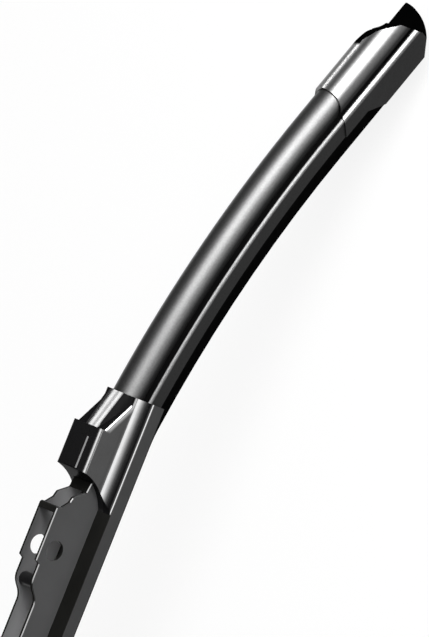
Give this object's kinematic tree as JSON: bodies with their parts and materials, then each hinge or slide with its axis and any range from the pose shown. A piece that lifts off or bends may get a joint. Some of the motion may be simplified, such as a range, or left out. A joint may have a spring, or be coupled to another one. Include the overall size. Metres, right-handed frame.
{
  "type": "wiper blade",
  "caption": "Flat wiper blade with a domed spoiler, slanted end caps, a bent wiping rubber and a clevis connector with a cross pin and a side-pin hole.",
  "frame": {"origin": "centre of the pivot pin between the clevis walls", "axes": "+X along the blade towards the high hood, +Y along the pivot pin, +Z away from the windscreen"},
  "size_m": [0.4104, 0.022, 0.0709],
  "materials": {
    "bracket": "satin dark grey coat",
    "pin": "satin black coat",
    "hood": "moulded, semi-gloss",
    "spoiler": "extruded, semi-gloss",
    "cap": "moulded, semi-gloss",
    "spring_steel": "bright rolled strip",
    "rubber": "matte"
  },
  "bodies": {
    "root": {"connector_base": "bracket", "pivot_pin": "pin", "hood_right": "hood", "hood_left": "hood", "spoiler_right": "spoiler", "spoiler_left": "spoiler", "end_cap_right": "cap", "end_cap_left": "cap", "rail_front": "spring_steel", "rail_rear": "spring_steel", "wiper_rubber": "rubber"}
  },
  "joints": []
}
